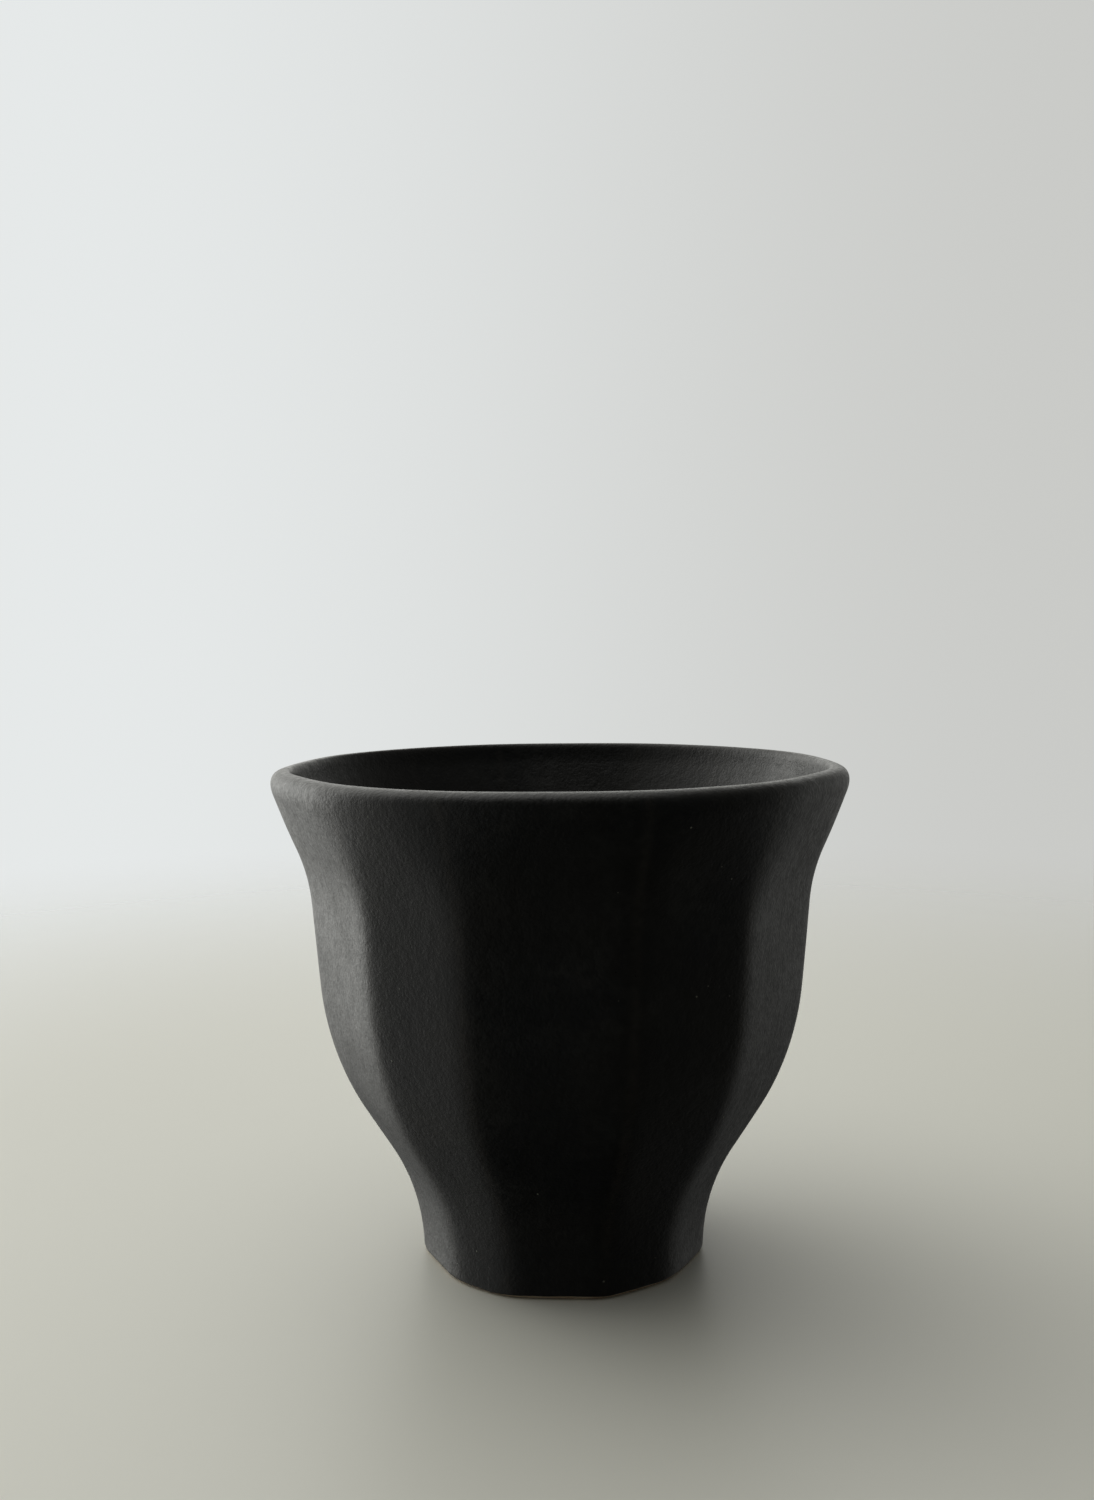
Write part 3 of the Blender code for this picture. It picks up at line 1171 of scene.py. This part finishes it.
class FootPiece(Piece):
    """A piece that also needs the foot's sizes."""

    shape = FootShape()

    def bead_rings(self, turn: np.ndarray) -> tuple[np.ndarray, np.ndarray]:
        """Rounded lower edge of the glaze: a quarter ellipse from the clay out to the skin.

        Args:
            turn: Angles, 0 on the clay and a quarter turn on the skin.

        Returns:
            Depth behind the skin, skin thickness * (1 - sin), and height, glaze line + bead
            height * (1 - cos).
        """
        depth = self.shape.glaze_skin * (1 - np.sin(turn))
        return depth, self.shape.glaze_line + self.shape.bead * (1 - np.cos(turn))


class FootClay(FootPiece):
    """Band of bare clay that the pot stands on."""

    name = "foot_clay"
    slot = Slot.CLAY

    def strips(self) -> list[Strip]:
        """Up the outer bottom edge to the glaze line, back under the glaze, and down the recess.

        Both edges are arcs, and their rings share the wiped edge's wave by the square of their
        height.
        """
        shape = self.shape
        glaze_turn = math.acos(1 - shape.glaze_line / shape.edge)
        rise = shape.edge * (1 - np.cos(np.linspace(0, glaze_turn, 9)))
        outer_edge = self.profile.faceted(
            rise,
            shape.glaze_skin + shape.edge_depth(rise),
            wave=(rise / shape.glaze_line) ** 2,
        )
        insets = np.array([shape.glaze_skin, shape.cover])
        line = np.full(2, shape.glaze_line)
        outer_top = self.profile.faceted(line, shape.edge_depth(line) + insets, wave=1.0)
        turn = np.linspace(0, math.pi / 2, 9)
        recess = shape.recess_radius
        inner_top = Section.of(
            recess + insets[::-1], shape.glaze_line, roundness=1.0, wave=1.0
        )
        fall = shape.recess_edge * (1 - np.sin(turn))
        inner_edge = Section.of(
            recess + shape.glaze_skin + shape.recess_edge * (1 - np.cos(turn)),
            fall,
            roundness=1.0,
            wave=(fall / shape.glaze_line) ** 2,
        )
        return [Strip(Section.join(outer_edge, outer_top, inner_top, inner_edge))]


class FootRing(FootPiece):
    """Glazed foot ring, with the seat of the floor slab inside it."""

    name = "foot_ring"
    node = "foot_ring"

    def strips(self) -> list[Strip]:
        """Up the outside from the glaze line, round the slab's seat, and down the recess."""
        shape = self.shape
        levels = self.levels
        profile = self.profile
        turn = np.concatenate([[-shape.bead_lead], np.linspace(0, math.pi / 2, 6)])
        depth, height = self.bead_rings(turn)
        bead = profile.faceted(height, depth + shape.edge_depth(height), wave=1.0)
        curve = np.linspace(height[-1], shape.edge, 7)[1:-1]
        heights = profile.heights(shape.edge, levels.slab_top + levels.gap / 2)[1:]
        heights = np.concatenate([curve, heights])
        fade = np.clip(1 - (heights - height[-1]) / shape.wave_reach, 0, 1) ** 2
        wall = profile.faceted(heights, shape.edge_depth(heights), wave=fade)
        seat = levels.slab_radius + levels.gap
        ledge = levels.slab_bottom - levels.gap
        hidden_top = Section.of(
            seat, np.array([levels.slab_top, ledge]), roundness=1.0
        )
        recess = shape.recess_radius
        start = ledge + levels.gap / 2
        falls = profile.heights(height[-1], start)[::-1][:-2]
        fade = np.clip(1 - (falls - height[-1]) / shape.wave_reach, 0, 1) ** 2
        recess_wall = Section.of(recess, falls, roundness=1.0, wave=fade)
        recess_bead = Section.of(
            recess + depth[::-1], height[::-1], roundness=1.0, wave=1.0
        )
        line = shape.glaze_line
        under = Section.join(
            Section.of(recess + shape.cover, line, roundness=1.0, wave=1.0),
            profile.faceted(line, shape.edge_depth(line) + shape.cover, wave=1.0),
        )
        return [
            Strip(Section.join(bead, wall), skin=True),
            Strip(hidden_top),
            Strip(Section.join(recess_wall, recess_bead), skin=True),
            Strip(under),
        ]


class FloorSlab(FootPiece):
    """Disc that closes the bottom of the bowl."""

    name = "floor_slab"
    node = "floor_slab"

    def closes_on_axis(self) -> bool:
        """The slab is a disc."""
        return True

    def strips(self) -> list[Strip]:
        """Out along the underside, round the hidden rim, and in over the floor."""
        shape = self.shape
        levels = self.levels
        profile = self.profile
        ledge = levels.slab_bottom - levels.gap / 2
        count = 1 + math.ceil(shape.recess_radius / profile.step)
        reach = np.linspace(shape.middle, shape.recess_radius, count)
        reach = np.concatenate([[shape.middle / 2], reach, [shape.recess_radius + shape.rim_overlap]])
        marks = shape.tool_depth * np.cos(math.tau * reach / shape.tool_pitch)
        inward = np.clip((shape.recess_radius - reach) / shape.mark_fade, 0, 1)
        height = ledge + (levels.gap / 2 + marks) * inward
        underside = Section.of(reach, height, roundness=1.0)
        edge = shape.slab_edge
        rim_radius = levels.slab_radius - np.array([edge, 0.0, 0.0, edge])
        rim_height = np.array(
            [
                levels.slab_bottom,
                levels.slab_bottom + edge,
                levels.slab_top - edge,
                levels.slab_top,
            ]
        )
        rim = Section.join(
            Section.of(shape.recess_radius + shape.rim_step, levels.slab_bottom, roundness=1.0),
            Section.of(rim_radius, rim_height, roundness=1.0),
        )
        toe = profile.fillet(np.array([shape.toe_angle]))
        seat_height = np.array([levels.slab_top])
        seat = replace(toe, height=seat_height, inset=toe.inset + shape.toe_clearance)
        steps = math.ceil((math.pi / 2 - shape.toe_angle) / (2 * shape.toe_step))
        angles = np.concatenate(
            [
                shape.toe_angle + shape.toe_step * np.array([-1.0, 0.0, 1.0]),
                np.linspace(shape.toe_angle + shape.toe_step, math.pi / 2, steps + 1)[1:],
            ]
        )
        fillet = profile.fillet(angles)
        last = profile.fillet(np.array([math.pi / 2]))
        floor_reach = float(last.radius[0] - last.inset[0])
        count = math.ceil(floor_reach / profile.step)
        share = np.linspace(1, shape.middle / floor_reach, count)[1:]
        share = np.concatenate([share, [share[-1] / 2]])
        floor = Section.of(
            last.radius * share,
            last.height - shape.dish * (1 - share**2) ** 2,
            inset=last.inset * share,
            crispness=last.crispness,
            roundness=1 - share**2,
            side=Side.BOWL,
        )
        return [
            Strip(underside, skin=True),
            Strip(Section.join(rim, seat)),
            Strip(Section.join(fillet, floor), skin=True),
        ]


class BellyWall(FootPiece):
    """Band that curves out from the foot."""

    name = "belly_wall"
    node = "belly_wall"

    def strips(self) -> list[Strip]:
        """Up the outside, over the tongue, and down the bowl to the toe on the floor."""
        shape = self.shape
        levels = self.levels
        profile = self.profile
        half = levels.gap / 2
        outside = profile.outer(
            profile.heights(levels.slab_top + half, levels.belly_seam + half)
        )
        floor = levels.slab_top + levels.gap
        heights = profile.heights(
            floor + profile.floor_fillet, levels.belly_seam + levels.lap + half
        )
        angles = np.concatenate(
            [
                np.linspace(0, shape.toe_angle - shape.toe_step, 11)[1:],
                shape.toe_angle + shape.toe_step * np.array([0.0, 1.0]),
            ]
        )
        bowl = Section.join(profile.inner(heights[::-1][:-1]), profile.fillet(angles))
        toe = profile.fillet(np.array([shape.toe_angle]))
        toe_foot = replace(toe, height=np.array([floor]))
        return [
            Strip(outside, skin=True),
            Strip(profile.tongue(levels.belly_seam)),
            Strip(bowl, skin=True),
            Strip(toe_foot),
        ]


class Band(Piece):
    """Plain band of wall between two laps."""

    def seams(self) -> tuple[float, float]:
        """Heights of the band's lower and upper ledges."""
        raise NotImplementedError

    def strips(self) -> list[Strip]:
        """Up the outside, over the tongue, down the bowl, and under the skirt."""
        low, high = self.seams()
        profile = self.profile
        half = self.levels.gap / 2
        lap = self.levels.lap
        outside = profile.outer(profile.heights(low + half, high + half))
        bowl = profile.inner(profile.heights(low + lap + half, high + lap + half)[::-1])
        return [
            Strip(outside, skin=True),
            Strip(profile.tongue(high)),
            Strip(bowl, skin=True),
            Strip(profile.skirt(low)),
        ]


class BodyWall(Band):
    """Near-upright band above the belly."""

    name = "body_wall"
    node = "body_wall"

    def seams(self) -> tuple[float, float]:
        """From the belly's seam to the neck's."""
        return self.levels.belly_seam, self.levels.neck_seam


class NeckCollar(Band):
    """Band that flares out under the lip."""

    name = "neck_collar"
    node = "neck_collar"

    def seams(self) -> tuple[float, float]:
        """From the neck's seam to the rim's."""
        return self.levels.neck_seam, self.levels.rim_seam


class RimCoil(Piece):
    """Rolled lip."""

    name = "rim_coil"
    node = "rim_coil"

    def strips(self) -> list[Strip]:
        """Up the outside, over the lip, down the bowl, and under the skirt."""
        profile = self.profile
        seam = self.levels.rim_seam
        half = self.levels.gap / 2
        outside = profile.heights(seam + half, profile.lip_start)[:-1]
        bowl = profile.heights(seam + self.levels.lap + half, profile.lip_start)[::-1][1:]
        skin = Section.join(profile.outer(outside), profile.lip(), profile.inner(bowl))
        return [Strip(skin, skin=True), Strip(profile.skirt(seam))]


@dataclass(frozen=True)
class SoftLight:
    """Soft rectangular studio light.

    Attributes:
        name: Its name.
        place: Its middle.
        target: What it faces.
        size: Its width and height.
        radiance: How bright its face is.
        colour: Its colour.
    """

    name: str
    place: tuple[float, float, float]
    target: tuple[float, float, float]
    size: tuple[float, float]
    radiance: float
    colour: tuple[float, float, float] = (1.0, 1.0, 1.0)

    def make(self) -> bpy.types.Object:
        """Adds the light, whose power is its radiance * pi * its area."""
        data = bpy.data.lights.new(self.name, "AREA")
        data.shape = "RECTANGLE"
        data.size, data.size_y = self.size
        data.energy = self.radiance * math.pi * self.size[0] * self.size[1]
        data.color = self.colour
        light = bpy.data.objects.new(self.name, data)
        away = Vector(self.target) - Vector(self.place)
        turn = away.to_track_quat("-Z", "Y").to_matrix().to_4x4()
        light.matrix_world = Matrix.Translation(self.place) @ turn
        light.visible_camera = False
        bpy.context.scene.collection.objects.link(light)
        return light


@dataclass(frozen=True)
class Glow:
    """Soft lobe of light in the studio's dome: its strength * the cosine to its middle, to a power.

    Attributes:
        towards: Direction of its middle.
        strength: Its brightness there.
        focus: The power.
    """

    towards: tuple[float, float, float]
    strength: float
    focus: float

    def light(self, graph: Graph, direction: bpy.types.NodeSocket) -> Value:
        """Adds the lobe's nodes.

        Args:
            graph: The world's graph.
            direction: The direction looked in.

        Returns:
            The lobe's brightness in that direction.
        """
        unit = tuple(Vector(self.towards).normalized())
        settings = {"operation": "DOT_PRODUCT"}
        dot = graph.node("ShaderNodeVectorMath", settings, {0: direction, 1: unit})
        return Value(graph, dot.outputs["Value"]).clamped() ** self.focus * self.strength


@dataclass(frozen=True)
class Room:
    """Plain studio: a dome of soft glows, and a pale backdrop that only the camera sees, with painted
    light and shade across it.

    Attributes:
        glows: The dome's glows.
        base: Brightness of the dome elsewhere.
        tint: Colour of the dome's light.
        left_backdrop: Colour of the backdrop's left side, painted lighter as painted light from the
            left.
        right_backdrop: Colour of its right side, painted darker as painted shade.
        backdrop_span: Sideways directions between which the one melts into the other, a painted
            falloff of the light.
    """

    glows: tuple[Glow, ...]
    base: float = 0.0
    tint: tuple[float, float, float] = (1.0, 1.003, 0.955)
    # Painted light and shade: the backdrop is lighter on the left and darker on the right.
    left_backdrop: tuple[float, float, float] = (0.790, 0.815, 0.815)
    right_backdrop: tuple[float, float, float] = (0.585, 0.590, 0.570)
    backdrop_span: tuple[float, float] = (-0.35, 0.4)

    def make(self) -> None:
        """Adds the world."""
        world = bpy.data.worlds.new("studio")
        world.use_nodes = True
        bpy.context.scene.world = world
        graph = Graph(world.node_tree)
        direction = graph.node("ShaderNodeTexCoord").outputs["Generated"]
        dome = sum((glow.light(graph, direction) for glow in self.glows), start=self.base)
        parts = graph.node("ShaderNodeSeparateXYZ", inputs={0: direction})
        # Painted light and shade: the backdrop runs from the lighter left colour to the darker right
        # one across the view.
        across = Value(graph, parts.outputs["X"]).ramp(*self.backdrop_span)
        backdrop = graph.mix(across, self.left_backdrop, self.right_backdrop)
        light = graph.node("ShaderNodeBackground", inputs={"Color": self.tint, "Strength": dome})
        seen = graph.node("ShaderNodeBackground", inputs={"Color": backdrop})
        camera_ray = graph.node("ShaderNodeLightPath").outputs["Is Camera Ray"]
        shader = graph.node(
            "ShaderNodeMixShader",
            inputs={0: camera_ray, 1: light.outputs[0], 2: seen.outputs[0]},
        )
        graph.node("ShaderNodeOutputWorld", inputs={"Surface": shader.outputs[0]})


@dataclass(frozen=True)
class Floor:
    """Plain pale floor that melts into the backdrop.

    Attributes:
        colour: Its colour.
        roughness: Its roughness.
        specular: Strength of its reflection.
        radius: Radius of the disc.
        solid: Radius within which it is whole.
    """

    colour: tuple[float, float, float] = (0.77, 0.765, 0.695)
    roughness: float = 0.42
    specular: float = 0.5
    radius: float = 0.62
    solid: float = 0.16

    def make(self) -> bpy.types.Object:
        """Adds the floor: a disc seen from above only, whose rim fades out.

        Reflections don't show it, so the black facets stay as dark as the studio in front of them.
        """
        turn = np.linspace(0, math.tau, 96, endpoint=False)
        ring = np.stack([np.cos(turn), np.sin(turn), np.zeros_like(turn)], axis=1) * self.radius
        mesh = bpy.data.meshes.new("floor")
        mesh.from_pydata(ring.tolist(), [], [list(range(len(ring)))])
        floor = bpy.data.objects.new("floor", mesh)
        bpy.context.scene.collection.objects.link(floor)
        floor.visible_glossy = False
        material = bpy.data.materials.new("pale_floor")
        material.use_nodes = True
        graph = Graph(material.node_tree)
        length = graph.node("ShaderNodeVectorMath", {"operation": "LENGTH"}, {0: graph.place()})
        away = Value(graph, length.outputs["Value"])
        below = Value(graph, graph.node("ShaderNodeNewGeometry").outputs["Backfacing"])
        hidden = away.ramp(self.solid, self.radius).math("MAXIMUM", below)
        grain = graph.noise(0.0009, 2.0, 0.5)
        shader = graph.node(
            "ShaderNodeBsdfPrincipled",
            inputs={
                "Base Color": self.colour,
                "Roughness": self.roughness,
                "Specular IOR Level": self.specular,
                "Normal": graph.bump(grain, 0.00001),
            },
        )
        clear = graph.node("ShaderNodeBsdfTransparent")
        mixed = graph.node(
            "ShaderNodeMixShader",
            inputs={0: hidden, 1: shader.outputs[0], 2: clear.outputs[0]},
        )
        graph.node("ShaderNodeOutputMaterial", inputs={"Surface": mixed.outputs[0]})
        mesh.materials.append(material)
        return floor


@dataclass(frozen=True)
class StudioCamera:
    """Camera a little above the lip, looking slightly down.

    Attributes:
        place: Where it stands.
        pitch: Degrees that it looks down.
        roll: Degrees that it is turned about its own axis.
        lens: Focal length for a sensor as wide as the long side.
        sensor: Width of that sensor.
    """

    place: tuple[float, float, float] = (-0.00257, -0.2939, 0.1300)
    pitch: float = 4.52
    roll: float = -0.58
    lens: float = 33.36
    sensor: float = 36.0

    def make(self) -> bpy.types.Object:
        """Adds the camera and makes it the scene's."""
        data = bpy.data.cameras.new("camera")
        data.lens = self.lens
        data.sensor_width = self.sensor
        data.sensor_fit = "AUTO"
        data.clip_start = 0.01
        data.dof.use_dof = False
        camera = bpy.data.objects.new("camera", data)
        tilt = Matrix.Rotation(math.radians(90 - self.pitch), 4, "X")
        turn = Matrix.Rotation(math.radians(self.roll), 4, "Z")
        camera.matrix_world = Matrix.Translation(self.place) @ tilt @ turn
        bpy.context.scene.collection.objects.link(camera)
        bpy.context.scene.camera = camera
        return camera


GLOWS = (
    Glow((-0.84, 0.55, 0.05), 2.55, 8.0),  # left and behind
    Glow((-0.80, -0.60, 0.0), 0.27, 8.0),  # left and in front
    Glow((0.85, 0.52, 0.05), 0.35, 8.0),  # right and behind
    Glow((0.0, 1.0, 0.2), 1.2, 8.0),  # behind
    Glow((-0.5, 0.3, 0.8), 1.30, 4.0),  # above, from the left
    Glow((0.3, -0.2, 0.9), 0.15, 4.0),  # above, from the right
    Glow((-0.75, -0.35, -0.55), 0.24, 8.0),  # low on the left, in front
    Glow((0.3, -0.8, -0.5), 0.03, 4.0),  # low in front
    Glow((-0.8, 0.35, -0.5), 0.36, 8.0),  # low on the left, behind
    Glow((0.8, 0.35, -0.5), 0.11, 8.0),  # low on the right, behind
    Glow((0.8, -0.55, 0.1), 0.05, 8.0),  # right and in front
)
LIGHTS = (
    SoftLight("window", (-0.60, 0.30, 0.22), (0.0, 0.0, 0.06), (0.5, 0.6), 0.3, (0.97, 0.99, 1.0)),
    SoftLight("overhead", (-0.10, 0.10, 0.75), (0.0, 0.0, 0.0), (0.7, 0.7), 0.32),
)


def main() -> None:
    """Builds the pot from the table up, then the studio round it."""
    logging.basicConfig(level=logging.INFO, format="%(name)s: %(message)s")
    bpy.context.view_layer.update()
    profile = WallProfile(Levels.from_frame())
    plan = FacetPlan()
    for kind in (FootClay, FootRing, FloorSlab, BellyWall, BodyWall, NeckCollar, RimCoil):
        kind(profile, plan).make()
    Floor().make()
    Room(GLOWS).make()
    for light in LIGHTS:
        light.make()
    StudioCamera().make()
    bpy.context.scene.view_settings.view_transform = "Standard"


if __name__ == "__main__":
    main()
